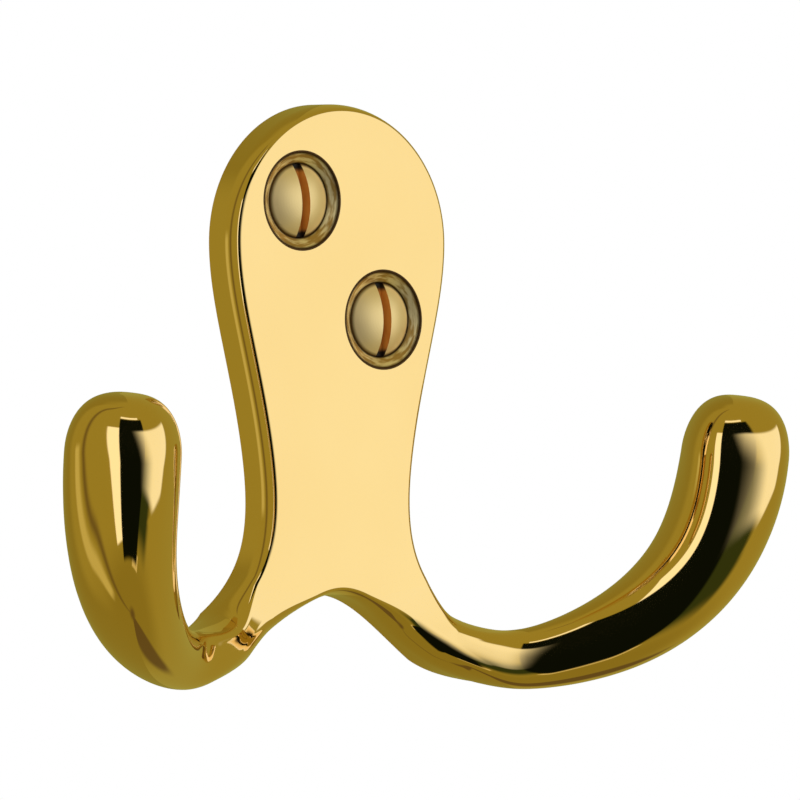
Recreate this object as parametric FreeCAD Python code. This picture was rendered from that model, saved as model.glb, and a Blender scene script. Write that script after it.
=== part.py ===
import FreeCAD, Part
import math
import os

from FreeCAD import Vector

# Double robe hook: one polished brass casting, a rounded plate whose foot parts into
# two arms, held to the wall by two slotted raised countersunk wood screws.
# Millimetres. +Z up, the wall is the plane Y = 0, the front faces -Y, +X is to the right.
# The origin lies on the wall plane midway between the two screws.

# Plate
PLATE_THICKNESS = 3.85
EDGE_ROUNDING = 1.0
LOBE_CENTRE_Z = 1.6
LOBE_RADIUS = 12.5
TAPER_HALF_WIDTH = 11.1
TAPER_DROP = 8.6
WAIST_HALF_WIDTH = 8.65
WAIST_DROP = 19.5
FLARE_IN_FROM_ROOT = 2.9
FLARE_ABOVE_ROOT = 7.0
ARCH_ABOVE_ROOT = 3.8
ARCH_SHOULDER_OUT = 6.8
ARCH_SHOULDER_ABOVE_ROOT = 0.8

# Root of the right arm, where it leaves the plate; the left arm mirrors it
ROOT_OUT = 12.2
ROOT_DROP = 35.6
ROOT_SLOPE_DEG = 34.5
ROOT_HALF_WIDTH = 2.55

# Stations of the right arm after its root: how far out from the root, how far forward
# of the wall, how far above the root, half width across the curl, half depth, squareness
ARM_STATIONS = [
    (4.3, 3.6, -1.7, 2.6, 2.3, 2.75),
    (9.0, 5.8, -1.9, 2.85, 2.5, 2.1),
    (16.05, 9.7, 0.8, 3.7, 3.8, 2.15),
    (21.65, 13.7, 7.0, 4.3, 4.7, 2.4),
    (23.7, 16.2, 16.2, 4.78, 5.12, 2.45),
]
TIP_DIRECTION = Vector(0.05, -0.15, 1)
TIP_DOME_HEIGHT = 5.6
TIP_TWIST_DEG = 26.0
TWIST_POWER = 3.5
TIP_BLUNTNESS = 0.7
SQUARENESS_AT_ROOT = 3.6

# Screws: 3.5 by 10 raised countersunk, the length measured from the head's rim
SCREW_OUT = 4.75
SCREW_BELOW_TOP = 8.75
HEAD_DIAMETER = 6.7
HEAD_RIM = 0.25
DOME_HEIGHT = 1.2
SHANK_DIAMETER = 3.5
SCREW_LENGTH = 10.0
POINT_LENGTH = 3.2
SLOT_WIDTH = 0.95
SLOT_DEPTH = 1.5
UPPER_SLOT_TILT_DEG = 3.5
LOWER_SLOT_TILT_DEG = 1.0

# Screw seats in the plate
DISH_DIAMETER = 8.85
DISH_DEPTH = 0.6
SEAT_GAP = 0.03
SHANK_CLEARANCE = 0.2

# A cross-section's six edges meet at these angles from its side: one behind, two in front
BACK_JOINT_DEG = 45.0
SIDE_JOINT_DEG = 22.0
FRONT_JOINT_DEG = 60.0
POINTS_PER_EDGE = 5
TANGENT_STEP = 0.01
ROOT_LEAD = 0.4
ARM_SECTIONS = 10

# The tip's dome: its rings, and the share of a step by which the last stops short of the top
DOME_RINGS = 6
DOME_TOP_GAP = 0.3


def plate_point(out, drop):
    """A point on the wall plane, out from the middle and down from the lobe's centre."""
    return Vector(out, 0, LOBE_CENTRE_Z - drop)


def mirrored(point):
    return Vector(-point.x, point.y, point.z)


def spline(points, start_direction, end_direction):
    """A smooth curve through points that leaves and arrives in the given directions."""
    curve = Part.BSplineCurve()
    curve.interpolate(Points=points, InitialTangent=start_direction, FinalTangent=end_direction)
    return curve.toShape()


def root_direction():
    slope = math.radians(ROOT_SLOPE_DEG)
    return Vector(math.cos(slope), 0, -math.sin(slope))


def root_across():
    """The direction across the arm at its root, towards its upper side."""
    slope = math.radians(ROOT_SLOPE_DEG)
    return Vector(math.sin(slope), 0, math.cos(slope))


def root_corner(side):
    """The end of the root's edge on the wall plane: side is 1 above, -1 below."""
    return plate_point(ROOT_OUT, ROOT_DROP) + root_across() * (side * ROOT_HALF_WIDTH)


def lobe_arc():
    """The upper half of the lobe, from its right side over the top to its left side."""
    left, top, right = plate_point(-LOBE_RADIUS, 0), plate_point(0, -LOBE_RADIUS), plate_point(LOBE_RADIUS, 0)
    return Part.Arc(right, top, left).toShape()


def right_flank():
    """From the lobe's right side by the waist to the upper side of the arm's root."""
    points = [
        plate_point(LOBE_RADIUS, 0),
        plate_point(TAPER_HALF_WIDTH, TAPER_DROP),
        plate_point(WAIST_HALF_WIDTH, WAIST_DROP),
        plate_point(ROOT_OUT - FLARE_IN_FROM_ROOT, ROOT_DROP - FLARE_ABOVE_ROOT),
        root_corner(1),
    ]
    return spline(points, Vector(0, 0, -1), root_direction())


def arch():
    """The notch between the arms, from the right root over its top to the left root."""
    right_shoulder = plate_point(ARCH_SHOULDER_OUT, ROOT_DROP - ARCH_SHOULDER_ABOVE_ROOT)
    points = [
        root_corner(-1),
        right_shoulder,
        plate_point(0, ROOT_DROP - ARCH_ABOVE_ROOT),
        mirrored(right_shoulder),
        mirrored(root_corner(-1)),
    ]
    return spline(points, root_direction() * -1, mirrored(root_direction()))


def mirrored_edge(edge):
    return edge.mirror(Vector(0, 0, 0), Vector(1, 0, 0))


def plate():
    """The flat plate, its front edge rounded everywhere but across the arms' roots."""
    flank = right_flank()
    right_end = Part.LineSegment(root_corner(1), root_corner(-1)).toShape()
    edges = [lobe_arc(), flank, right_end, arch(), mirrored_edge(right_end), mirrored_edge(flank)]
    outline = Part.Wire(Part.__sortEdges__(edges))
    solid = Part.Face(outline).extrude(Vector(0, -PLATE_THICKNESS, 0))
    rounded = [edge for edge in solid.Edges if is_front_edge(edge) and not is_across_root(edge)]
    return solid.makeFillet(EDGE_ROUNDING, rounded)


def is_front_edge(edge):
    return edge.BoundBox.YMax < -PLATE_THICKNESS / 2


def is_across_root(edge):
    return isinstance(edge.Curve, Part.Line)


def root_section(shift):
    """The plate's end face as a wire of six edges, moved along the arm by shift."""
    centre = plate_point(ROOT_OUT, ROOT_DROP) + root_direction() * shift
    across = root_across()
    front = Vector(0, -PLATE_THICKNESS, 0)
    inset = Vector(0, EDGE_ROUNDING, 0)
    half = across * ROOT_HALF_WIDTH
    half_flat = across * (ROOT_HALF_WIDTH - EDGE_ROUNDING)
    bulge = EDGE_ROUNDING * (1 - math.sqrt(0.5))
    half_middle = across * (ROOT_HALF_WIDTH - bulge)
    upper_back = centre + half
    lower_back = centre - half
    upper_side = upper_back + front + inset
    lower_side = lower_back + front + inset
    upper_front = centre + half_flat + front
    lower_front = centre - half_flat + front
    upper_middle = centre + half_middle + front + Vector(0, bulge, 0)
    lower_middle = centre - half_middle + front + Vector(0, bulge, 0)
    edges = [
        Part.LineSegment(upper_back, upper_side),
        Part.Arc(upper_side, upper_middle, upper_front),
        Part.LineSegment(upper_front, lower_front),
        Part.Arc(lower_front, lower_middle, lower_side),
        Part.LineSegment(lower_side, lower_back),
        Part.LineSegment(lower_back, upper_back),
    ]
    return Part.Wire([edge.toShape() for edge in edges])


def arm_spine():
    """The middle line of the right arm, from the middle of its root to its tip's base."""
    root = plate_point(ROOT_OUT, ROOT_DROP)
    points = [root - Vector(0, PLATE_THICKNESS / 2, 0)]
    for out, forward, up, _, _, _ in ARM_STATIONS:
        points.append(Vector(root.x + out, -forward, root.z + up))
    count = len(ARM_STATIONS)
    leave = root_direction() * (points[1].distanceToPoint(points[0]) * count)
    arrive = TIP_DIRECTION.normalize() * (points[-1].distanceToPoint(points[-2]) * count)
    curve = Part.BSplineCurve()
    curve.interpolate(
        Points=points, Parameters=station_shares(), InitialTangent=leave, FinalTangent=arrive, Scale=False
    )
    return curve


def arm_girth():
    """The arm's half width, half depth and squareness, as X, Y and Z along the spine."""
    points = [Vector(ROOT_HALF_WIDTH, PLATE_THICKNESS / 2, SQUARENESS_AT_ROOT)]
    for _, _, _, half_width, half_depth, squareness in ARM_STATIONS:
        points.append(Vector(half_width, half_depth, squareness))
    curve = Part.BSplineCurve()
    curve.interpolate(Points=points, Parameters=station_shares())
    return curve


def station_shares():
    """How far along the arm each station lies, from 0 at the root to 1 at the tip's base."""
    count = len(ARM_STATIONS)
    return [number / count for number in range(count + 1)]


def section_point(centre, across, forward, half_width, half_depth, squareness, angle):
    power = 2 / squareness
    cosine = math.cos(angle)
    sine = math.sin(angle)
    width = math.copysign(abs(cosine) ** power, cosine) * half_width
    depth = math.copysign(abs(sine) ** power, sine) * half_depth
    return centre + across * width + forward * depth


def arm_section(centre, direction, twist, half_width, half_depth, squareness):
    """One rounded cross-section of the arm, square to its direction, of six edges."""
    forward = Vector(-math.sin(twist), -math.cos(twist), 0)
    forward = (forward - direction * forward.dot(direction)).normalize()
    across = direction.cross(forward) * -1
    back, side, front = (math.radians(angle) for angle in (BACK_JOINT_DEG, SIDE_JOINT_DEG, FRONT_JOINT_DEG))
    starts = [-back, side, front, math.pi - front, math.pi - side, math.pi + back]
    ends = starts[1:] + [starts[0] + 2 * math.pi]
    edges = []
    for start, end in zip(starts, ends):
        step = (end - start) / (POINTS_PER_EDGE - 1)
        angles = [start + step * i for i in range(POINTS_PER_EDGE)]
        shape = (centre, across, forward, half_width, half_depth, squareness)
        points = [section_point(*shape, angle) for angle in angles]
        first = section_point(*shape, start + TANGENT_STEP) - section_point(*shape, start - TANGENT_STEP)
        last = section_point(*shape, end + TANGENT_STEP) - section_point(*shape, end - TANGENT_STEP)
        edges.append(spline(points, first, last))
    return Part.Wire(edges)


def right_arm():
    """The right arm, lofted from the plate's end face to the top of its domed tip."""
    spine = arm_spine()
    girth = arm_girth()
    sections = [root_section(0), root_section(ROOT_LEAD)]
    for number in range(1, ARM_SECTIONS + 1):
        share = number / ARM_SECTIONS
        centre = spine.value(share)
        direction = spine.tangent(share)[0].normalize()
        size = girth.value(share)
        twist = math.radians(TIP_TWIST_DEG) * share ** TWIST_POWER
        sections.append(arm_section(centre, direction, twist, size.x, size.y, size.z))
    for ring in range(1, DOME_RINGS + 1):
        turn = math.pi / 2 * ring / (DOME_RINGS + DOME_TOP_GAP)
        shrink = math.cos(turn) ** TIP_BLUNTNESS
        middle = centre + direction * (TIP_DOME_HEIGHT * math.sin(turn))
        sections.append(arm_section(middle, direction, twist, size.x * shrink, size.y * shrink, size.z))
    return Part.makeLoft(sections, True, False)


def screw_centre(side):
    """The screw's axis on the wall plane: side is 1 for the upper, -1 for the lower."""
    up = LOBE_CENTRE_Z + LOBE_RADIUS - SCREW_BELOW_TOP
    return Vector(-side * SCREW_OUT, 0, side * up)


def turned(centre, profile):
    """A solid turned about the Y axis through centre, from pairs of radius and depth."""
    corners = [centre + Vector(radius, depth, 0) for radius, depth in profile]
    face = Part.Face(Part.makePolygon(corners + corners[:1]))
    return face.revolve(centre, Vector(0, 1, 0), 360)


def rim_depth():
    """Where the head's rim lies along Y: the dish's depth behind the plate's front."""
    return DISH_DEPTH - PLATE_THICKNESS


def screw_seat(side):
    """What the drill takes out of the plate for one screw: dish, countersink and hole."""
    seat_radius = HEAD_DIAMETER / 2 + SEAT_GAP
    hole_radius = SHANK_DIAMETER / 2 + SHANK_CLEARANCE
    dish_bottom = rim_depth()
    seat_top = dish_bottom + HEAD_RIM
    dish_slope = (DISH_DIAMETER / 2 - seat_radius) / DISH_DEPTH
    proud = DISH_DEPTH
    profile = [
        (0, -PLATE_THICKNESS - proud),
        (DISH_DIAMETER / 2 + dish_slope * proud, -PLATE_THICKNESS - proud),
        (seat_radius, dish_bottom),
        (seat_radius, seat_top),
        (hole_radius, seat_top + seat_radius - hole_radius),
        (hole_radius, proud),
        (0, proud),
    ]
    return turned(screw_centre(side), profile)


def screw_blank(side):
    """A screw without its slot: head, countersunk cone, the thread's envelope and point."""
    head = HEAD_DIAMETER / 2
    shank = SHANK_DIAMETER / 2
    rim = rim_depth()
    cone_top = rim + HEAD_RIM
    tip = rim + SCREW_LENGTH
    profile = [
        (0, rim),
        (head, rim),
        (head, cone_top),
        (shank, cone_top + head - shank),
        (shank, tip - POINT_LENGTH),
        (0, tip),
    ]
    return turned(screw_centre(side), profile)


def screw_dome(side):
    """The raised top of the head, a cap of a ball that meets the rim."""
    head = HEAD_DIAMETER / 2
    ball_radius = (head ** 2 + DOME_HEIGHT ** 2) / (2 * DOME_HEIGHT)
    centre = screw_centre(side) + Vector(0, rim_depth() - DOME_HEIGHT + ball_radius, 0)
    ball = Part.makeSphere(ball_radius, centre)
    cap_start = screw_centre(side) + Vector(0, rim_depth() - 2 * DOME_HEIGHT, 0)
    cap = Part.makeCylinder(HEAD_DIAMETER, 2 * DOME_HEIGHT, cap_start, Vector(0, 1, 0))
    return ball.common(cap)


def screw_slot(side, tilt_deg):
    """The cutter of the driver slot, nearly upright, its top leaning to the left."""
    span = 2 * HEAD_DIAMETER
    height = SLOT_DEPTH + DOME_HEIGHT
    apex = rim_depth() - DOME_HEIGHT
    corner = Vector(-SLOT_WIDTH / 2, apex + SLOT_DEPTH - height, -span / 2)
    box = Part.makeBox(SLOT_WIDTH, height, span, corner)
    box.rotate(Vector(0, 0, 0), Vector(0, 1, 0), -tilt_deg)
    box.translate(screw_centre(side))
    return box


def screw(side, tilt_deg):
    return screw_blank(side).fuse(screw_dome(side)).cut(screw_slot(side, tilt_deg))


def hook_casting():
    """The one-piece casting: plate, both arms and the two screw seats."""
    arm = right_arm()
    casting = plate().fuse([arm, mirrored_edge(arm)])
    for side in (1, -1):
        casting = casting.cut(screw_seat(side))
    return casting


def write_part(name, shape):
    solid = shape.Solids[0]
    box = solid.BoundBox
    print(name, len(shape.Solids), "solid, valid", solid.isValid(), "volume", round(solid.Volume, 1))
    corners = (box.XMin, box.XMax, box.YMin, box.YMax, box.ZMin, box.ZMax)
    print("  box", [round(value, 2) for value in corners])
    solid.exportStep("parts/" + name + ".step")


def main():
    os.makedirs("parts", exist_ok=True)
    write_part("hook_casting", hook_casting())
    write_part("screw_upper", screw(1, UPPER_SLOT_TILT_DEG))
    write_part("screw_lower", screw(-1, LOWER_SLOT_TILT_DEG))


main()
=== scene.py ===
import math

import bmesh
import bpy
import numpy as np
from mathutils import Matrix, Vector


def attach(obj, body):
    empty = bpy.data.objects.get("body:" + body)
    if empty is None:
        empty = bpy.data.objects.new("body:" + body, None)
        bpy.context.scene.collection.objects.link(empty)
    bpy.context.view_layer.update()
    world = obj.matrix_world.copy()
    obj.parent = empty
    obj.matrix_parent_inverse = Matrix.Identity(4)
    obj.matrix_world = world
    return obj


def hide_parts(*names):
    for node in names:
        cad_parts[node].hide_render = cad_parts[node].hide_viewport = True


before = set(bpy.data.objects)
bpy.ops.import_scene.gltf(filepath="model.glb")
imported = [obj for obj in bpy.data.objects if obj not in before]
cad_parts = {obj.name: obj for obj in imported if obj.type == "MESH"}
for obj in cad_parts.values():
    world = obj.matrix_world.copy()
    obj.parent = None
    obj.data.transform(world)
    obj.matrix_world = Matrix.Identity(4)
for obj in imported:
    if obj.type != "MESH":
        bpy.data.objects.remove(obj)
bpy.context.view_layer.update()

# Everything about the hook is in millimetres here, as in its drawing, and goes to metres
# when a mesh is made. The front faces -Y, the wall is Y = 0, forward means away from it.
MM = 0.001

# Plate
PLATE_THICKNESS = 3.85
LOBE_CENTRE_Z = 1.6
LOBE_RADIUS = 12.5
TAPER_HALF_WIDTH, TAPER_DROP = 11.1, 8.6
WAIST_HALF_WIDTH, WAIST_DROP = 8.65, 19.5
FLARE_IN_FROM_ROOT, FLARE_ABOVE_ROOT = 2.9, 7.0
ARCH_ABOVE_ROOT = 3.8
ARCH_SHOULDER_OUT, ARCH_SHOULDER_ABOVE_ROOT = 6.8, 0.8

# Arms: the root, and the stations after it, as out, forward, up, half width, half depth
# and squareness, which is the power of the section's curve
ROOT_OUT, ROOT_DROP = 12.2, 35.6
ROOT_SLOPE = math.radians(34.5)
ROOT_HALF_WIDTH = 2.55
SQUARENESS_AT_ROOT = 3.6
ARM_STATIONS = [
    (4.3, 3.95, -1.7, 2.6, 2.4, 2.75),
    (9.0, 5.8, -1.9, 2.85, 2.5, 2.1),
    (16.05, 9.7, 0.8, 3.7, 3.8, 2.15),
    (21.65, 13.7, 7.0, 4.3, 4.7, 2.4),
    (23.7, 16.2, 16.2, 4.77, 5.12, 2.45),
]
TIP_DIRECTION = (0.05, -0.15, 1)
TIP_DOME_HEIGHT = 5.6
TIP_BLUNTNESS = 0.7
TIP_TWIST, TWIST_POWER = math.radians(26), 3.5
# The share of the arm over which its section turns from the plate's end to a round one
ROOT_BLEND = 0.35
# The angles on the arm's section where its upper edge, front, lower edge and back start,
# and where the back ends
SECTION_CORNERS = (-45, 60, 120, 225, 315)

# The plate's edge, and the same edge grown along the foot to the arm's root, above and
# below: the radius of its slow turn, the angle where that ends, the radius of its tight turn
PLATE_EDGE = (3.2, 26, 0.5)
ROOT_UPPER_EDGE = (6.0, 35, 1.1)
ROOT_LOWER_EDGE = (3.2, 44, 1.6)
# The lower edge is full grown before the root, this many times as early as the upper one
LOWER_PACE = 1.5
# A narrow flat strip inside the edge, which keeps the plate's front from shading into it
EDGE_HOLD = 0.08
# Where the foot starts, as shares of the flank's length and of the notch's
FOOT_UPPER, FOOT_LOWER = 0.86, 0.39
# The foot swells forward at the root, from this far short of it, faster and faster
FOOT_SWELL, SWELL_REACH, SWELL_POWER = 1.0, 4.2, 1.6

# Screws and their seats
SCREW_OUT, SCREW_BELOW_TOP = 4.75, 8.75
HEAD_DIAMETER = 6.7
HEAD_RIM = 0.25
DOME_HEIGHT = 1.2
SHANK_DIAMETER = 3.5
CORE_DIAMETER = 2.4
THREAD_PITCH = 1.4
# Half the width of the thread's ridge, as a share of its pitch
RIDGE_SHARE = 0.3
# Where the thread is full, forward of the wall, and how far in front of that it fades out
THREAD_FULL_AT, THREAD_FADE = -0.2, 0.5
SCREW_LENGTH = 10.0
POINT_LENGTH = 3.2
SLOT_WIDTH = 0.95
SLOT_DEPTH = 1.5
SLOT_TILT = {1: math.radians(3.5), -1: math.radians(1.0)}
SCREW_SOFTNESS = 0.05
DISH_DIAMETER = 8.85
DISH_DEPTH = 0.6
# The dish's rim is worn: this wide each way, and this far down
RIM_SOFTNESS, RIM_FALL = 0.12, 0.072
SEAT_GAP = 0.03
SHANK_CLEARANCE = 0.2
DISH_FLOOR = PLATE_THICKNESS - DISH_DEPTH
DOME_TOP = DISH_FLOOR + DOME_HEIGHT

# How many points each curve gets
LOBE_POINTS, FLANK_POINTS, ARCH_POINTS = 45, 100, 61
FOOT_POINTS, ARM_POINTS, DOME_POINTS = 33, 129, 31
SLOW_POINTS, TIGHT_POINTS, ACROSS_POINTS = 9, 13, 17
WALL_SHARES = (0, 0.04, 0.2, 0.5, 0.8, 0.96)
SEAT_COLUMNS, HEAD_COLUMNS, HEAD_ROWS = 120, 96, 20
THREAD_COLUMNS, THREAD_ROWS = 48, 170

# Points closer than the first are one point; the second tells whether one lies on a plane
MERGE_DISTANCE, ON_PLANE = 0.002, 0.001
# Faces that meet at more than this have a sharp edge between them
CASTING_SHARP, HEAD_SHARP, SCREW_SHARP = math.radians(40), math.radians(30), math.radians(35)

# Where the camera stands, as the photograph shows the hook
CAMERA_TURN = math.radians(39.83)
CAMERA_RISE = math.radians(-0.51)
CAMERA_ROLL = math.radians(-0.16)
CAMERA_DISTANCE = 3.087
PIXELS_PER_MM = 11.061
AIM_Z = -10.4
AIM_RIGHT, AIM_DOWN = 7.6, 2.2
PHOTO_PIXELS = 800
SENSOR_MM = 36

# A colour mix has its two colours at these inputs and its result at this output
MIX_FROM, MIX_TO, MIX_RESULT = 6, 7, 2


def linear(code):
    """The linear colour of an sRGB hex code."""
    values = [int(code[i:i + 2], 16) / 255 for i in (1, 3, 5)]
    return [v / 12.92 if v <= 0.04045 else ((v + 0.055) / 1.055) ** 2.4 for v in values] + [1.0]


def add(tree, kind, inputs, **settings):
    """Adds a node with its settings. Each input takes a value or another node's output."""
    new = tree.nodes.new(kind)
    for name, value in settings.items():
        setattr(new, name, value)
    for name, value in inputs.items():
        if isinstance(value, bpy.types.NodeSocket):
            tree.links.new(value, new.inputs[name])
        else:
            new.inputs[name].default_value = value
    return new


# Curves

def eased(share):
    """A share of the way that starts and ends slowly, and stays at 1 from there on."""
    share = min(share, 1)
    return share * share * (3 - 2 * share)


def cubic(knots, points, leave, arrive, where):
    """A smooth curve through points at knots, leaving and arriving with given slopes."""
    t = np.array(knots, float)
    p = np.array(points, float)
    gap = np.diff(t)
    rise = np.diff(p, axis=0) / gap[:, None]
    count = len(t)
    matrix = np.zeros((count, count))
    right = np.zeros_like(p)
    matrix[0, 0] = matrix[-1, -1] = 1
    right[0], right[-1] = leave, arrive
    for i in range(1, count - 1):
        matrix[i, i - 1:i + 2] = gap[i], 2 * (gap[i - 1] + gap[i]), gap[i - 1]
        right[i] = 3 * (gap[i] * rise[i - 1] + gap[i - 1] * rise[i])
    slope = np.linalg.solve(matrix, right)
    span = np.clip(np.searchsorted(t, where, side="right") - 1, 0, count - 2)
    u = ((where - t[span]) / gap[span])[:, None]
    h = gap[span][:, None]
    a, b, c, d = p[span], p[span + 1], slope[span] * h, slope[span + 1] * h
    value = (
        (2 * u**3 - 3 * u**2 + 1) * a + (3 * u**2 - 2 * u**3) * b
        + (u**3 - 2 * u**2 + u) * c + (u**3 - u**2) * d
    )
    change = (
        (6 * u**2 - 6 * u) * (a - b) + (3 * u**2 - 4 * u + 1) * c + (3 * u**2 - 2 * u) * d
    ) / h
    return value, change


def flat_curve(points, leave, arrive, shares):
    """Points at shares of a smooth outline in the wall plane, and its directions there."""
    knots = np.r_[0, np.cumsum(np.hypot(*np.diff(points, axis=0).T))]
    value, change = cubic(knots, points, leave, arrive, knots[-1] * np.asarray(shares))
    return value, change / np.linalg.norm(change, axis=1)[:, None]


# The casting's outline, in the wall plane, as pairs of X and Z

ROOT_ALONG = np.array([math.cos(ROOT_SLOPE), -math.sin(ROOT_SLOPE)])
ROOT_ACROSS = np.array([math.sin(ROOT_SLOPE), math.cos(ROOT_SLOPE)])
MIRROR = np.array([-1, 1])


def plate_point(out, drop):
    """A point this far right of the plate's middle line and below the lobe's centre."""
    return np.array([out, LOBE_CENTRE_Z - drop])


def root_corner(side):
    """The end of the root's edge: side is 1 above, -1 below."""
    return plate_point(ROOT_OUT, ROOT_DROP) + ROOT_ACROSS * side * ROOT_HALF_WIDTH


def lobe():
    """The lobe's right half, from its top to its right side, and its directions."""
    turn = np.linspace(math.pi / 2, 0, LOBE_POINTS)
    points = plate_point(0, 0) + LOBE_RADIUS * np.stack([np.cos(turn), np.sin(turn)], 1)
    return points, np.stack([np.sin(turn), -np.cos(turn)], 1)


def flank(shares):
    """Points at these shares of the right flank, from the lobe by the waist to the root."""
    points = [
        plate_point(LOBE_RADIUS, 0),
        plate_point(TAPER_HALF_WIDTH, TAPER_DROP),
        plate_point(WAIST_HALF_WIDTH, WAIST_DROP),
        plate_point(ROOT_OUT - FLARE_IN_FROM_ROOT, ROOT_DROP - FLARE_ABOVE_ROOT),
        root_corner(1),
    ]
    return flat_curve(points, (0, -1), ROOT_ALONG, shares)


def arch(shares):
    """Points at these shares of the notch between the arms, from the right root to the left."""
    shoulder = plate_point(ARCH_SHOULDER_OUT, ROOT_DROP - ARCH_SHOULDER_ABOVE_ROOT)
    top = plate_point(0, ROOT_DROP - ARCH_ABOVE_ROOT)
    points = [root_corner(-1), shoulder, top, shoulder * MIRROR, root_corner(-1) * MIRROR]
    return flat_curve(points, -ROOT_ALONG, ROOT_ALONG * MIRROR, shares)


def outward(way):
    """Directions square to an outline, away from the plate."""
    return np.stack([-way[:, 1], way[:, 0]], 1)


def edge_profile(edge, top=PLATE_THICKNESS):
    """Across the plate's edge, from its back to just on its front: inset and forward. The
    edge turns first slowly, by the first radius up to an angle, then by the second."""
    slow, until, tight = edge
    slow_turns = np.linspace(0, until, SLOW_POINTS)
    turns = np.radians(np.r_[slow_turns, np.linspace(until, 90, TIGHT_POINTS)[1:]])
    bend = math.radians(until)
    first, second = np.minimum(turns, bend), np.maximum(turns, bend)
    inset = slow * (1 - np.cos(first)) + tight * (math.cos(bend) - np.cos(second))
    rise = slow * np.sin(first) + tight * (np.sin(second) - math.sin(bend))
    start = top - rise[-1]
    wall = [(0, start * share) for share in WALL_SHARES]
    return np.array(wall + list(zip(inset, start + rise)) + [(inset[-1] + EDGE_HOLD, top)])


# Mesh making

def weave(bm, rows, closed=False, finish=0):
    """Quads between rows of points; closed joins each row's end to its start, and finish is
    the number of their material."""
    grid = [[bm.verts.new(Vector(point) * MM) for point in row] for row in rows]
    for near, far in zip(grid, grid[1:]):
        for i in range(len(near) - (0 if closed else 1)):
            j = (i + 1) % len(near)
            bm.faces.new((near[i], near[j], far[j], far[i])).material_index = finish
    return grid


def cap(bm, row, point):
    """A fan from a closed row of vertices to one point."""
    top = bm.verts.new(Vector(point) * MM)
    for i, vertex in enumerate(row):
        bm.faces.new((vertex, row[(i + 1) % len(row)], top))


def circle(centre, radius, forward, turn):
    """Points round an axis that runs along Y, this far forward of the wall."""
    return np.stack([
        centre[0] + radius * np.cos(turn),
        np.full(len(turn), -forward),
        centre[1] + radius * np.sin(turn),
    ], 1)


def lathe(bm, centre, profile, columns, finish=0):
    """Turns a profile of radius and forward about the Y axis through centre."""
    turn = np.linspace(0, 2 * math.pi, columns, endpoint=False)
    rows = [circle(centre, radius, forward, turn) for radius, forward in profile]
    return weave(bm, rows, closed=True, finish=finish)


def fill_flat(bm, forward):
    """Closes the open edges this far forward of the wall."""
    level = -forward * MM
    edges = [
        edge for edge in bm.edges if edge.is_boundary
        and all(abs(vertex.co.y - level) < ON_PLANE * MM for vertex in edge.verts)
    ]
    bmesh.ops.triangle_fill(
        bm, use_beauty=True, use_dissolve=False, edges=edges, normal=(0, -1, 0))


def finish_mesh(bm, name, sharp_angle, materials):
    """Makes an object of the mesh, smooth but for its sharp edges."""
    bmesh.ops.remove_doubles(bm, verts=bm.verts, dist=MERGE_DISTANCE * MM)
    bmesh.ops.recalc_face_normals(bm, faces=bm.faces)
    for face in bm.faces:
        face.smooth = True
    for edge in bm.edges:
        edge.smooth = edge.is_manifold and edge.calc_face_angle(0) < sharp_angle
    mesh = bpy.data.meshes.new(name)
    bm.to_mesh(mesh)
    bm.free()
    thing = bpy.data.objects.new(name, mesh)
    bpy.context.collection.objects.link(thing)
    for material in materials:
        mesh.materials.append(material)
    return thing


# Casting

def plate_edge(bm, points, way):
    """The plate's side wall and front rounding along an outline."""
    rows = []
    for inset, forward in edge_profile(PLATE_EDGE):
        flat = points - outward(way) * inset
        rows.append(np.stack([flat[:, 0], np.full(len(flat), -forward), flat[:, 1]], 1))
    weave(bm, rows)


def foot_rings():
    """Closed rings round the plate's right foot, where it grows into the arm: each goes up
    the upper edge, over the front, down the lower edge and along the back."""
    steps = np.linspace(0, 1, FOOT_POINTS)
    uppers, upper_ways = flank(FOOT_UPPER + (1 - FOOT_UPPER) * steps)
    lowers, lower_ways = arch(FOOT_LOWER * (1 - steps))
    upper_out, lower_out = outward(upper_ways), outward(lower_ways)
    rings = []
    for i, step in enumerate(steps):
        sides = []
        for point, out, grown, pace in (
            (uppers[i], upper_out[i], ROOT_UPPER_EDGE, 1),
            (lowers[i], lower_out[i], ROOT_LOWER_EDGE, LOWER_PACE),
        ):
            growth = eased(step * pace)
            short = ROOT_ALONG @ (plate_point(ROOT_OUT, ROOT_DROP) - point)
            swell = FOOT_SWELL * max(1 - short / SWELL_REACH, 0) ** SWELL_POWER
            edge = [a + (b - a) * growth for a, b in zip(PLATE_EDGE, grown)]
            profile = edge_profile(edge, PLATE_THICKNESS + swell)
            flat = point - profile[:, :1] * out
            sides.append(np.stack([flat[:, 0], -profile[:, 1], flat[:, 1]], 1))
        upper, lower = sides
        across = np.linspace(0, 1, ACROSS_POINTS)[1:-1, None]
        front = upper[-1] + (lower[-1] - upper[-1]) * across
        back = lower[0] + (upper[0] - lower[0]) * across
        rings.append(np.r_[upper, front, lower[::-1], back])
    return rings


def ring_turns():
    """The angle on the arm's section that each point of a foot ring goes to."""
    upper, front, lower, back, end = SECTION_CORNERS
    edge_points = len(edge_profile(PLATE_EDGE))
    return np.radians(np.r_[
        np.linspace(upper, front, edge_points),
        np.linspace(front, lower, ACROSS_POINTS)[1:-1],
        np.linspace(lower, back, edge_points),
        np.linspace(back, end, ACROSS_POINTS)[1:-1],
    ])


def section(root_ring, turns, share, half_width, half_depth, squareness):
    """The arm's section: like the plate's end at the root, rounder along the arm."""
    power = 2 / squareness
    cosine, sine = np.cos(turns), np.sin(turns)
    round_ring = np.stack([
        np.sign(cosine) * np.abs(cosine) ** power * half_width,
        np.sign(sine) * np.abs(sine) ** power * half_depth,
    ], 1)
    blend = eased(share / ROOT_BLEND)
    return root_ring * (1 - blend) + round_ring * blend


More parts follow.
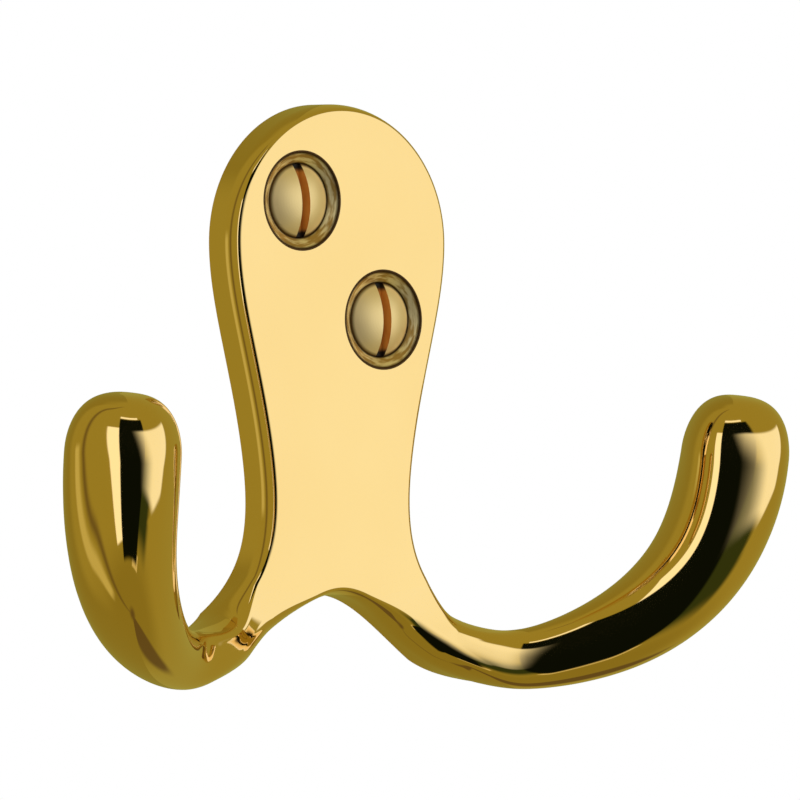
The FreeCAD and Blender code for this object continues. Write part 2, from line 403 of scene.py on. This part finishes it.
def arm_course(root, half_depth):
    """The arm's shares, with its spine's points and headings and its section's sizes there."""
    stations, girths = [root], [(ROOT_HALF_WIDTH, half_depth, SQUARENESS_AT_ROOT)]
    for out, forward, up, *girth in ARM_STATIONS:
        stations.append((root[0] + out, -forward, root[2] + up))
        girths.append(girth)
    stations = np.array(stations)
    count = len(ARM_STATIONS)
    knots = np.linspace(0, 1, count + 1)
    leave = np.array([ROOT_ALONG[0], -FOOT_SWELL * SWELL_POWER / SWELL_REACH, ROOT_ALONG[1]])
    leave = leave / np.linalg.norm(leave) * np.linalg.norm(stations[1] - stations[0]) * count
    arrive = np.array(Vector(TIP_DIRECTION).normalized())
    arrive = arrive * np.linalg.norm(stations[-1] - stations[-2]) * count
    shares = np.linspace(0, 1, ARM_POINTS)
    spine, headings = cubic(knots, stations, leave, arrive, shares)
    sizes, _ = cubic(knots, girths, (0, 0, 0), (0, 0, 0), shares)
    return list(zip(shares, spine, headings, sizes))


def arm(bm, side):
    """The foot and arm from the plate to the domed tip: side is 1 right, -1 left."""
    rows = foot_rings()
    turns = ring_turns()
    root_x, root_z = plate_point(ROOT_OUT, ROOT_DROP)
    half_depth = (PLATE_THICKNESS + FOOT_SWELL) / 2
    root = np.array((root_x, -half_depth, root_z))
    offset = rows[-1] - root
    root_ring = np.stack([offset @ (ROOT_ACROSS[0], 0, ROOT_ACROSS[1]), -offset[:, 1]], 1)
    for share, centre, heading, size in arm_course(root, half_depth)[1:]:
        heading = Vector(heading).normalized()
        twist = TIP_TWIST * share ** TWIST_POWER
        forward = Vector((-math.sin(twist), -math.cos(twist), 0))
        lean = min(share / ROOT_BLEND, 1)
        forward = (forward - heading * forward.dot(heading) * lean).normalized()
        across = forward.cross(heading).normalized()
        local = section(root_ring, turns, share, *size)
        rows.append(centre + local[:, :1] * np.array(across) + local[:, 1:] * np.array(forward))
    last = rows[-1]
    dome = np.array(heading) * TIP_DOME_HEIGHT
    for step in np.linspace(0, 1, DOME_POINTS)[1:-1]:
        turn = math.pi / 2 * (1 - (1 - step) ** (1 / TIP_BLUNTNESS))
        shrink = math.cos(turn) ** TIP_BLUNTNESS
        rows.append(centre + dome * math.sin(turn) + (last - centre) * shrink)
    flip = np.array([side, 1, 1])
    grid = weave(bm, [row * flip for row in rows], closed=True)
    cap(bm, grid[-1], (centre + dome) * flip)


def screw_centre(side):
    """X and Z of a screw's axis: side is 1 for the upper one, -1 for the lower."""
    return -side * SCREW_OUT, side * (LOBE_CENTRE_Z + LOBE_RADIUS - SCREW_BELOW_TOP)


def seat_profile():
    """Dish, countersink and hole, from the plate's front to its back."""
    rim = DISH_DIAMETER / 2
    seat = HEAD_DIAMETER / 2 + SEAT_GAP
    hole = SHANK_DIAMETER / 2 + SHANK_CLEARANCE
    profile = [(rim + RIM_SOFTNESS, PLATE_THICKNESS), (rim, PLATE_THICKNESS)]
    for step in np.linspace(0.2, 1, 5):
        profile.append((rim - RIM_SOFTNESS * step, PLATE_THICKNESS - RIM_FALL * step ** 2))
    inside, height = profile[-1]
    for step in np.linspace(0, 1, 5)[1:]:
        profile.append((inside + (seat - inside) * step, height + (DISH_FLOOR - height) * step))
    cone_top = DISH_FLOOR - HEAD_RIM
    return profile + [(seat, cone_top), (hole, cone_top - (seat - hole)), (hole, 0)]


def make_casting(polished, spotfaced, ground):
    """Plate and both arms as one skin, with the two screw seats."""
    bm = bmesh.new()
    lobe_points, lobe_ways = lobe()
    flank_points, flank_ways = flank(np.linspace(0, FOOT_UPPER, FLANK_POINTS)[1:])
    right, way = np.r_[lobe_points, flank_points], np.r_[lobe_ways, flank_ways]
    plate_edge(bm, np.r_[right[:0:-1] * MIRROR, right], np.r_[way[:0:-1] * -MIRROR, way])
    plate_edge(bm, *arch(np.linspace(FOOT_LOWER, 1 - FOOT_LOWER, ARCH_POINTS)))
    arm(bm, 1)
    arm(bm, -1)
    for side in (1, -1):
        lathe(bm, screw_centre(side), seat_profile(), SEAT_COLUMNS, finish=1)
    bmesh.ops.remove_doubles(bm, verts=bm.verts, dist=MERGE_DISTANCE * MM)
    fill_flat(bm, PLATE_THICKNESS)
    fill_flat(bm, 0)
    for face in bm.faces:
        if all(abs(vertex.co.y) < ON_PLANE * MM for vertex in face.verts):
            face.material_index = 2
    return finish_mesh(bm, "casting", CASTING_SHARP, [polished, spotfaced, ground])


# Screws

def head_profile():
    """The screw's head from near the top of its dome to the end of its cone."""
    head = HEAD_DIAMETER / 2
    ball = (head ** 2 + DOME_HEIGHT ** 2) / (2 * DOME_HEIGHT)
    centre = DOME_TOP - ball
    reach = math.asin(head / ball)
    profile = []
    for step in np.linspace(0.04, 1, HEAD_ROWS):
        profile.append((ball * math.sin(reach * step), centre + ball * math.cos(reach * step)))
    shank = SHANK_DIAMETER / 2
    cone_top = DISH_FLOOR - HEAD_RIM
    return profile + [(head, cone_top), (shank, cone_top - (head - shank))]


def thread_rows(centre):
    """The shank and its thread, which fades in below the cone and runs out at the point."""
    shank = SHANK_DIAMETER / 2
    start = DISH_FLOOR - HEAD_RIM - (HEAD_DIAMETER - SHANK_DIAMETER) / 2
    tip = DISH_FLOOR - SCREW_LENGTH
    turn = np.linspace(0, 2 * math.pi, THREAD_COLUMNS, endpoint=False)
    rows = []
    for forward in np.linspace(start, tip, THREAD_ROWS):
        outer = shank * min(1, (forward - tip) / POINT_LENGTH)
        core = outer * CORE_DIAMETER / SHANK_DIAMETER
        phase = (forward / THREAD_PITCH + turn / (2 * math.pi)) % 1
        ridge = np.clip(1 - np.abs(phase - 0.5) / RIDGE_SHARE, 0, 1)
        bare = min(max((forward - THREAD_FULL_AT) / THREAD_FADE, 0), 1)
        radius = core + (outer - core) * np.maximum(ridge, bare)
        rows.append(circle(centre, radius, forward, turn))
    return rows


def slot_cutter(side):
    """The box that cuts the driver slot, nearly upright, its top leaning left."""
    bm = bmesh.new()
    bmesh.ops.create_cube(bm, size=1)
    x, z = screw_centre(side)
    size = (SLOT_WIDTH * MM, 2 * SLOT_DEPTH * MM, 2 * HEAD_DIAMETER * MM)
    tilt = Matrix.Rotation(-SLOT_TILT[side], 3, "Y")
    bmesh.ops.scale(bm, vec=size, verts=bm.verts)
    bmesh.ops.rotate(bm, matrix=tilt, verts=bm.verts)
    bmesh.ops.translate(bm, vec=(x * MM, -DOME_TOP * MM, z * MM), verts=bm.verts)
    return finish_mesh(bm, "cutter", HEAD_SHARP, [])


def make_head(side, name, materials):
    """The screw's head as an object, and its mesh with the slot cut and the edges softened."""
    bm = bmesh.new()
    x, z = screw_centre(side)
    profile = head_profile()
    grid = lathe(bm, (x, z), profile, HEAD_COLUMNS)
    cap(bm, grid[0], (x, -DOME_TOP, z))
    cap(bm, grid[-1], (x, -profile[-1][1], z))
    head = finish_mesh(bm, name, HEAD_SHARP, materials)
    cutter = slot_cutter(side)
    cut = head.modifiers.new("slot", "BOOLEAN")
    cut.object = cutter
    cut.solver = "EXACT"
    soften = head.modifiers.new("edges", "BEVEL")
    soften.width = SCREW_SOFTNESS * MM
    soften.segments = 2
    soften.limit_method = "ANGLE"
    soften.angle_limit = HEAD_SHARP
    bpy.context.view_layer.update()
    graph = bpy.context.evaluated_depsgraph_get()
    made = bpy.data.meshes.new_from_object(head.evaluated_get(graph))
    bpy.data.objects.remove(cutter)
    head.modifiers.clear()
    return head, made


def paint_slot(bm, side):
    """Gives the slot's walls and floor the dull finish of the saw cut, with its painted shade.
    """
    x, z = screw_centre(side)
    centre = Vector((x * MM, 0, z * MM))
    upright = Matrix.Rotation(SLOT_TILT[side], 3, "Y")
    half_width = (SLOT_WIDTH / 2 + 0.02) * MM
    for face in bm.faces:
        place = upright @ (face.calc_center_median() - centre)
        facing = upright @ face.normal
        is_wall = abs(facing.x) > 0.9
        is_floor = facing.y < -0.9 and -place.y < DISH_FLOOR * MM
        if abs(place.x) < half_width and (is_wall or is_floor):
            face.material_index = 1


def make_screw(side, name, turned, sawn):
    """A screw with its slot cut, softened edges and a thread."""
    head, made = make_head(side, name, [turned, sawn])
    x, z = screw_centre(side)
    bm = bmesh.new()
    bm.from_mesh(made)
    paint_slot(bm, side)
    rows = weave(bm, thread_rows((x, z)), closed=True)
    cap(bm, rows[-1], (x, SCREW_LENGTH - DISH_FLOOR, z))
    for face in bm.faces:
        face.smooth = True
    for edge in bm.edges:
        edge.smooth = edge.calc_face_angle(0) < SCREW_SHARP
    bm.to_mesh(head.data)
    bm.free()
    return head


# Materials

def new_metal(name):
    """An empty material, its tree, and the socket of places on the object in metres."""
    material = bpy.data.materials.new(name)
    material.use_nodes = True
    tree = material.node_tree
    tree.nodes.clear()
    return material, tree, add(tree, "ShaderNodeTexCoord", {}).outputs["Object"]


def axis_distance(tree, place, side):
    """The distance of a place from a screw's axis."""
    x, z = screw_centre(side)
    moved = add(tree, "ShaderNodeVectorMath", {
        0: place, 1: (x * MM, 0, z * MM)}, operation="SUBTRACT")
    flat = add(tree, "ShaderNodeVectorMath", {
        0: moved.outputs["Vector"], 1: (1, 0, 1)}, operation="MULTIPLY")
    length = add(tree, "ShaderNodeVectorMath", {0: flat.outputs["Vector"]}, operation="LENGTH")
    return length.outputs["Value"]


def tool_rings(tree, radius, pitch, depth):
    """Fine grooves round an axis, this many millimetres apart and deep: their wave and bump."""
    turns = add(tree, "ShaderNodeMath", {
        0: radius, 1: 2 * math.pi / (pitch * MM)}, operation="MULTIPLY")
    sine = add(tree, "ShaderNodeMath", {0: turns.outputs["Value"]}, operation="SINE")
    wave = sine.outputs["Value"]
    bump = add(tree, "ShaderNodeBump", {"Height": wave, "Distance": depth * MM, "Strength": 0.5})
    return wave, bump.outputs["Normal"]


def cast_brass():
    """Cast brass, polished and lacquered: a mirror with a warm yellow tint, whose tone drifts
    a little over some 14 mm, and a clear coat that keeps a sharp glint of its own."""
    material, tree, place = new_metal("polished_lacquered_cast_brass")
    drift = add(tree, "ShaderNodeTexNoise", {
        "Vector": place, "Scale": 1 / (14 * MM), "Detail": 2.0})
    tone = add(tree, "ShaderNodeMix", {
        "Factor": drift.outputs["Fac"],
        MIX_FROM: linear("#F3D08A"), MIX_TO: linear("#EEC87E")}, data_type="RGBA")
    haze = add(tree, "ShaderNodeMapRange", {
        "Value": drift.outputs["Fac"], "From Min": 0.3, "From Max": 0.7,
        "To Min": 0.03, "To Max": 0.055})
    shader = add(tree, "ShaderNodeBsdfPrincipled", {
        "Base Color": tone.outputs[MIX_RESULT], "Metallic": 1.0,
        "Roughness": haze.outputs["Result"], "Coat Weight": 1.0, "Coat Roughness": 0.02})
    add(tree, "ShaderNodeOutputMaterial", {"Surface": shader.outputs["BSDF"]})
    return material


def ground_brass():
    """The casting's back, ground flat on a belt and not polished: dull, paler brass under
    upright scratches 0.5 mm apart, coarser than the belt's grit so that they show."""
    material, tree, place = new_metal("belt_ground_brass")
    drawn = add(tree, "ShaderNodeVectorMath", {
        0: place, 1: (1, 1, 0.03)}, operation="MULTIPLY")
    scratches = add(tree, "ShaderNodeTexNoise", {
        "Vector": drawn.outputs["Vector"], "Scale": 1 / (0.5 * MM), "Detail": 6.0})
    tone = add(tree, "ShaderNodeMix", {
        "Factor": scratches.outputs["Fac"],
        MIX_FROM: linear("#D9B871"), MIX_TO: linear("#C7A25C")}, data_type="RGBA")
    haze = add(tree, "ShaderNodeMapRange", {
        "Value": scratches.outputs["Fac"], "From Min": 0.3, "From Max": 0.7,
        "To Min": 0.3, "To Max": 0.45})
    grooves = add(tree, "ShaderNodeBump", {
        "Height": scratches.outputs["Fac"], "Distance": 0.02 * MM, "Strength": 0.6})
    shader = add(tree, "ShaderNodeBsdfPrincipled", {
        "Base Color": tone.outputs[MIX_RESULT], "Metallic": 1.0,
        "Roughness": haze.outputs["Result"], "Normal": grooves.outputs["Normal"]})
    add(tree, "ShaderNodeOutputMaterial", {"Surface": shader.outputs["BSDF"]})
    return material


def spotfaced_brass():
    """Brass cut by a spot-facing drill: fine rings round each hole, duller than the polish,
    old stains in arcs along them, and painted shade: dark round the screw's head, where it
    sits in the dish, and a dark line just inside the rim."""
    material, tree, place = new_metal("spotfaced_brass")
    upper, lower = [axis_distance(tree, place, side) for side in (1, -1)]
    minimum = add(tree, "ShaderNodeMath", {0: upper, 1: lower}, operation="MINIMUM")
    nearest = minimum.outputs["Value"]
    wave, grooves = tool_rings(tree, nearest, 0.21, 0.004)
    # Painted shade: the dish turns dark brown close to the screw's head
    gap_shade = add(tree, "ShaderNodeMapRange", {
        "Value": nearest, "From Min": (HEAD_DIAMETER / 2 + 0.04) * MM,
        "From Max": (HEAD_DIAMETER / 2 + 0.22) * MM}, interpolation_type="SMOOTHSTEP")
    # Painted shade: a dark band just inside the dish's rim
    rim_shade = add(tree, "ShaderNodeMapRange", {
        "Value": nearest, "From Min": (DISH_DIAMETER / 2 - 0.3) * MM,
        "From Max": (DISH_DIAMETER / 2 - 0.08) * MM}, interpolation_type="SMOOTHSTEP")
    # The stains change five times as fast across the rings as along them
    spot = add(tree, "ShaderNodeSeparateXYZ", {"Vector": place})
    tighter = add(tree, "ShaderNodeMath", {0: nearest, 1: 5.0}, operation="MULTIPLY")
    arcs = add(tree, "ShaderNodeCombineXYZ", {
        "X": spot.outputs["X"], "Y": tighter.outputs["Value"], "Z": spot.outputs["Z"]})
    stains = add(tree, "ShaderNodeTexNoise", {
        "Vector": arcs.outputs["Vector"], "Scale": 1 / (1.5 * MM), "Detail": 2.0})
    patchy = add(tree, "ShaderNodeMapRange", {
        "Value": stains.outputs["Fac"], "From Min": 0.38, "From Max": 0.62,
    }, interpolation_type="SMOOTHSTEP")
    cut = add(tree, "ShaderNodeMix", {
        "Factor": patchy.outputs["Result"],
        MIX_FROM: linear("#B08A48"), MIX_TO: linear("#EBD59C")}, data_type="RGBA")
    # The dark brown here is the painted shade round the head
    floor = add(tree, "ShaderNodeMix", {
        "Factor": gap_shade.outputs["Result"],
        MIX_FROM: linear("#3A2810"), MIX_TO: cut.outputs[MIX_RESULT]}, data_type="RGBA")
    # The dark brown here is the painted shade along the rim
    tone = add(tree, "ShaderNodeMix", {
        "Factor": rim_shade.outputs["Result"],
        MIX_FROM: floor.outputs[MIX_RESULT], MIX_TO: linear("#402A0E")}, data_type="RGBA")
    haze = add(tree, "ShaderNodeMapRange", {
        "Value": wave, "From Min": -1.0, "From Max": 1.0, "To Min": 0.3, "To Max": 0.36})
    shader = add(tree, "ShaderNodeBsdfPrincipled", {
        "Base Color": tone.outputs[MIX_RESULT], "Metallic": 0.85,
        "Roughness": haze.outputs["Result"], "Normal": grooves})
    add(tree, "ShaderNodeOutputMaterial", {"Surface": shader.outputs["BSDF"]})
    return material


def turned_brass(side):
    """Brass turned on a screw machine and left as cut: a soft shine over fine rings, and
    painted shade that darkens the edge of the head where it sits in the dish."""
    material, tree, place = new_metal("turned_screw_brass")
    radius = axis_distance(tree, place, side)
    wave, grooves = tool_rings(tree, radius, 0.24, 0.002)
    # Painted shade: darker towards the edge of the head, where it meets the dish
    gap_shade = add(tree, "ShaderNodeMapRange", {
        "Value": radius, "From Min": (HEAD_DIAMETER / 2 - 0.35) * MM,
        "From Max": (HEAD_DIAMETER / 2 - 0.02) * MM}, interpolation_type="SMOOTHSTEP")
    tone = add(tree, "ShaderNodeMix", {
        "Factor": gap_shade.outputs["Result"],
        MIX_FROM: linear("#F0D69C"), MIX_TO: linear("#6B4E22")}, data_type="RGBA")
    haze = add(tree, "ShaderNodeMapRange", {
        "Value": wave, "From Min": -1.0, "From Max": 1.0, "To Min": 0.46, "To Max": 0.5})
    shader = add(tree, "ShaderNodeBsdfPrincipled", {
        "Base Color": tone.outputs[MIX_RESULT], "Metallic": 0.85,
        "Roughness": haze.outputs["Result"], "Normal": grooves})
    add(tree, "ShaderNodeOutputMaterial", {"Surface": shader.outputs["BSDF"]})
    return material


def sawn_brass(side):
    """The saw cut of the slot: dull, painted a reddish brown as shade and warm light bounced
    inside it, darker in patches of about 1 mm, and a painted shadow nearly black at both ends."""
    material, tree, place = new_metal("sawn_brass_painted_shade")
    # Painted shadow: the slot turns nearly black towards the rim of the head
    ends = add(tree, "ShaderNodeMapRange", {
        "Value": axis_distance(tree, place, side), "From Min": (HEAD_DIAMETER / 2 - 0.85) * MM,
        "From Max": (HEAD_DIAMETER / 2 - 0.35) * MM}, interpolation_type="SMOOTHSTEP")
    patches = add(tree, "ShaderNodeTexNoise", {
        "Vector": place, "Scale": 1 / (1.2 * MM), "Detail": 4.0})
    # Painted shade and reflection: reddish browns for the slot's dark and its bounced warm light
    metal = add(tree, "ShaderNodeMix", {
        "Factor": patches.outputs["Fac"],
        MIX_FROM: linear("#9C5516"), MIX_TO: linear("#BE7C2B")}, data_type="RGBA")
    tone = add(tree, "ShaderNodeMix", {
        "Factor": ends.outputs["Result"],
        MIX_FROM: metal.outputs[MIX_RESULT], MIX_TO: linear("#1E1206")}, data_type="RGBA")
    haze = add(tree, "ShaderNodeMapRange", {
        "Value": patches.outputs["Fac"], "From Min": 0.3, "From Max": 0.7,
        "To Min": 0.45, "To Max": 0.6})
    shader = add(tree, "ShaderNodeBsdfPrincipled", {
        "Base Color": tone.outputs[MIX_RESULT], "Metallic": 0.3,
        "Roughness": haze.outputs["Result"]})
    add(tree, "ShaderNodeOutputMaterial", {"Surface": shader.outputs["BSDF"]})
    return material


# Studio

FLOOR_Z = -90
FLOOR_HALF_SIZE = 2.0
LAMP_PLACE, LAMP_SIZE, LAMP_POWER = (-0.9, -1.2, 1.4), 0.8, 25

# What the brass mirrors, as linear light
ROOM_BROWN = (0.36, 0.31, 0.055, 1)
WHITE = (1.25, 1.27, 1.2, 1)
CREAM = (1.12, 1.17, 1.12, 1)
BLACK = (0.004, 0.006, 0.003, 1)
DARK_OLIVE = (0.035, 0.05, 0.012, 1)
DARK_BROWN = (0.14, 0.10, 0.03, 1)
LIGHT_GOLD = (0.6, 0.55, 0.2, 1)
PALE_GOLD = (0.7, 0.62, 0.3, 1)
DEEP_BROWN = (0.28, 0.235, 0.036, 1)

# Cards that stand far off all round the hook, each painted over those before it. A card is
# its left and right side, its lower and upper end, how soft its left side is, how soft the
# others are, and its colour. All are in degrees. Sideways is counted from the camera, to the
# right in its picture, and height from the level. The second number of a side is how many
# degrees it leans to the right for each degree up.
STUDIO_CARDS = [
    # The room behind the hook's left, and its floor all round
    (((-190, 0), (-114, 0), -100, 70), 4, 18, DEEP_BROWN),
    (((-190, 0), (190, 0), -100, -50), 4, 30, DEEP_BROWN),
    # A pale and a dark upright strip to the left, for the lines along the plate's edge
    (((-95, 0), (-83, 0), -60, 5), 5, 8, LIGHT_GOLD),
    (((-76, 0), (-70, 0), -88, 82), 9, 9, DARK_BROWN),
    # Straight below, and a wedge behind that widens downwards
    (((-190, 0), (190, 0), -100, -86), 4, 6, DARK_BROWN),
    (((176, 0.64), (136, -0.64), -90, -35), 8, 12, DARK_BROWN),
    # The white strip in both tips, left of the black card
    (((-42, -0.12), (-15, 0), -47, 30), 2, 2, WHITE),
    # What lies under the black card, for the lower side of the right arm's dark band
    (((10, 0), (66, 0), -46, -10), 16, 16, DARK_OLIVE),
    (((16, 0), (40, 0), -60, -52), 4, 1, PALE_GOLD),
    # The black card round the camera, and the softbox that the plate's front mirrors
    (((-25, -0.1), (36, 0), -57, 48), 2, 4, BLACK),
    (((37, -0.6), (104, 0.3), -26, 26), 48, 5, CREAM),
    # A patch of the room again, low behind the right, and a white strip over the black card
    (((136, 2.25), (180, 0), -32, -5), 5, 4, ROOM_BROWN),
    (((-30, 0), (25, 0), 49, 53), 3, 2, WHITE),
]


def camera_axes():
    """Directions towards the camera, to its right and up, in the hook's frame."""
    turn, rise = CAMERA_TURN, CAMERA_RISE
    level = math.cos(rise)
    toward = Vector((-math.sin(turn) * level, -math.cos(turn) * level, math.sin(rise)))
    right = Vector((math.cos(turn), -math.sin(turn), 0))
    up = toward.cross(right)
    roll = Matrix.Rotation(CAMERA_ROLL, 3, toward)
    return toward, roll @ right, roll @ up


def make_camera():
    """The camera, which aims beside the plate's middle so that the hook lies as in the
    photograph."""
    toward, right, up = camera_axes()
    data = bpy.data.cameras.new("camera")
    data.sensor_width = SENSOR_MM
    data.lens = PIXELS_PER_MM / MM * CAMERA_DISTANCE / PHOTO_PIXELS * SENSOR_MM
    camera = bpy.data.objects.new("camera", data)
    bpy.context.collection.objects.link(camera)
    aim = Vector((0, 0, AIM_Z)) * MM + right * AIM_RIGHT * MM - up * AIM_DOWN * MM
    axes = Matrix((right, up, toward)).transposed().to_4x4()
    camera.matrix_world = Matrix.Translation(aim + toward * CAMERA_DISTANCE) @ axes
    bpy.context.scene.camera = camera


def make_studio():
    """The brown room with its cards, which only the brass mirrors. The camera itself, and
    all other light, sees plain white."""
    world = bpy.data.worlds.new("studio")
    bpy.context.scene.world = world
    world.use_nodes = True
    tree = world.node_tree
    tree.nodes.clear()
    toward, right, _ = camera_axes()
    way = add(tree, "ShaderNodeTexCoord", {}).outputs["Generated"]
    ahead, aside = [
        add(tree, "ShaderNodeVectorMath", {0: way, 1: axis}, operation="DOT_PRODUCT")
        for axis in (toward, right)
    ]
    sideways = add(tree, "ShaderNodeMath", {
        0: aside.outputs["Value"], 1: ahead.outputs["Value"]}, operation="ARCTAN2")
    height = add(tree, "ShaderNodeSeparateXYZ", {"Vector": way}).outputs["Z"]
    upwards = add(tree, "ShaderNodeMath", {0: height}, operation="ARCSINE")
    turn, rise = sideways.outputs["Value"], upwards.outputs["Value"]
    seen = ROOM_BROWN
    for (left_side, right_side, low, high), soft_left, soft, colour in STUDIO_CARDS:
        mask = 1.0
        for angle, (edge, lean), blur in (
            (turn, left_side, soft_left),
            (turn, right_side, -soft),
            (rise, (low, 0), soft),
            (rise, (high, 0), -soft),
        ):
            leant = add(tree, "ShaderNodeMath", {
                0: rise, 1: -lean, 2: angle}, operation="MULTIPLY_ADD")
            edge, blur = math.radians(edge), math.radians(blur / 2)
            within = add(tree, "ShaderNodeMapRange", {
                "Value": leant.outputs["Value"],
                "From Min": edge - blur, "From Max": edge + blur,
            }, interpolation_type="SMOOTHSTEP")
            both = add(tree, "ShaderNodeMath", {
                0: mask, 1: within.outputs["Result"]}, operation="MULTIPLY")
            mask = both.outputs["Value"]
        painted = add(tree, "ShaderNodeMix", {
            "Factor": mask, MIX_FROM: seen, MIX_TO: colour}, data_type="RGBA")
        seen = painted.outputs[MIX_RESULT]
    mirrored = add(tree, "ShaderNodeBackground", {"Color": seen, "Strength": 1.0})
    plain = add(tree, "ShaderNodeBackground", {"Color": (1, 1, 1, 1), "Strength": 1.0})
    ray = add(tree, "ShaderNodeLightPath", {})
    shown = add(tree, "ShaderNodeMixShader", {
        0: ray.outputs["Is Glossy Ray"],
        1: plain.outputs["Background"], 2: mirrored.outputs["Background"]})
    add(tree, "ShaderNodeOutputWorld", {"Surface": shown.outputs["Shader"]})


def make_floor():
    """A wide pale floor under the hook, which the brass doesn't mirror."""
    bm = bmesh.new()
    bmesh.ops.create_grid(bm, size=FLOOR_HALF_SIZE, x_segments=1, y_segments=1)
    bmesh.ops.translate(bm, vec=(0, 0, FLOOR_Z * MM), verts=bm.verts)
    material = bpy.data.materials.new("pale_floor")
    material.use_nodes = True
    shader = material.node_tree.nodes["Principled BSDF"]
    shader.inputs["Base Color"].default_value = linear("#F6F5F2")
    shader.inputs["Roughness"].default_value = 0.8
    mesh = bpy.data.meshes.new("floor")
    bm.to_mesh(mesh)
    bm.free()
    floor = bpy.data.objects.new("floor", mesh)
    bpy.context.collection.objects.link(floor)
    mesh.materials.append(material)
    floor.visible_glossy = False


def make_lamp():
    """A soft square lamp that looks at the hook and stays out of its reflections."""
    data = bpy.data.lights.new("key", "AREA")
    data.size = LAMP_SIZE
    data.energy = LAMP_POWER
    lamp = bpy.data.objects.new("key", data)
    facing = Vector(LAMP_PLACE).to_track_quat("Z", "Y").to_matrix().to_4x4()
    lamp.matrix_world = Matrix.Translation(LAMP_PLACE) @ facing
    lamp.visible_glossy = False
    bpy.context.collection.objects.link(lamp)


casting = make_casting(cast_brass(), spotfaced_brass(), ground_brass())
pieces = {"hook_casting": (casting, "polished_brass")}
for side, place in ((1, "upper"), (-1, "lower")):
    screw = make_screw(side, place + "_screw", turned_brass(side), sawn_brass(side))
    pieces["screw_" + place] = (screw, "screw_brass")
for node, (piece, finish) in pieces.items():
    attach(piece, "root")
    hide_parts(node)

make_camera()
make_studio()
make_floor()
make_lamp()
bpy.context.scene.view_settings.view_transform = "Standard"
